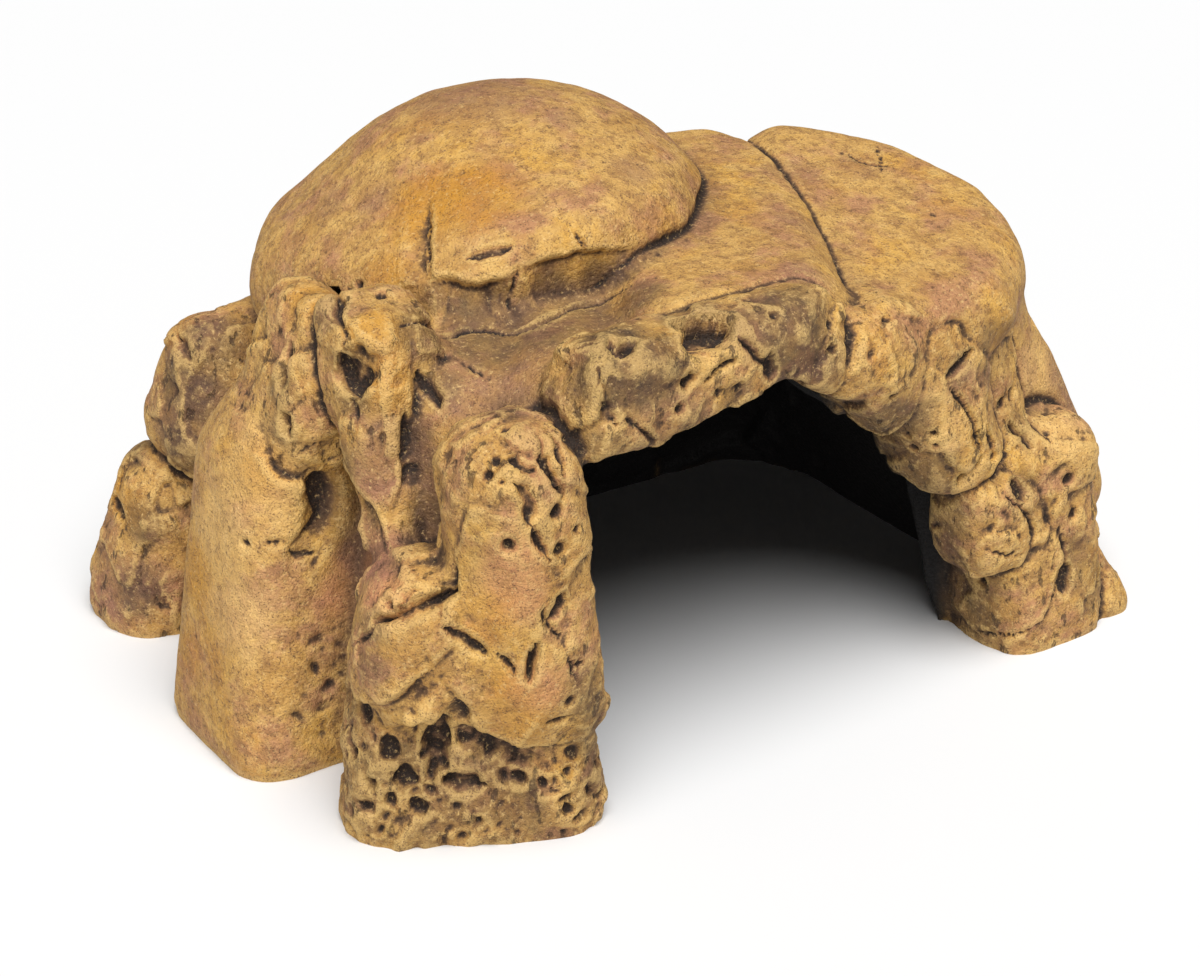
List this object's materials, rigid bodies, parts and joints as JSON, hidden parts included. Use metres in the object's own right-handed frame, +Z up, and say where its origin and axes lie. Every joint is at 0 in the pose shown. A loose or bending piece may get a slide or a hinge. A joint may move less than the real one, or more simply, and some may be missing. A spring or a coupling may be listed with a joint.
{
  "type": "resin cave ornament",
  "caption": "Hollow rock-look cave for an aquarium floor: a domed resin shell with an arched front mouth, an open base and stones bonded over and around it.",
  "frame": {"origin": "middle of the footprint's bounding box, on the floor it stands on", "axes": "+Z up, -Y towards the mouth, +X to the right as seen from the mouth's side"},
  "size_m": [0.2137, 0.1527, 0.1219],
  "materials": {
    "shell_resin": "matt painted resin, rough rock skin outside, near black inside",
    "stone_resin": "matt painted resin, ochre with umber washed into the pits and cracks"
  },
  "bodies": {
    "root": {"cave_shell": "shell_resin", "dome_capstone": "stone_resin", "middle_roof_slab": "stone_resin", "right_roof_slab": "stone_resin", "left_brow_stone": "stone_resin", "left_wedge_stone": "stone_resin", "left_wall_slab": "stone_resin", "left_pillar_stone": "stone_resin", "left_lobe_stone": "stone_resin", "left_foot_stone": "stone_resin", "lintel_stone": "stone_resin", "arch_crown_stone": "stone_resin", "right_arch_stone": "stone_resin", "right_cheek_stone": "stone_resin", "right_shoulder_stone": "stone_resin", "right_knuckle_stone": "stone_resin", "right_foot_stone": "stone_resin", "right_heel_stone": "stone_resin", "rear_upper_boulder": "stone_resin", "rear_lower_boulder": "stone_resin"}
  },
  "joints": []
}
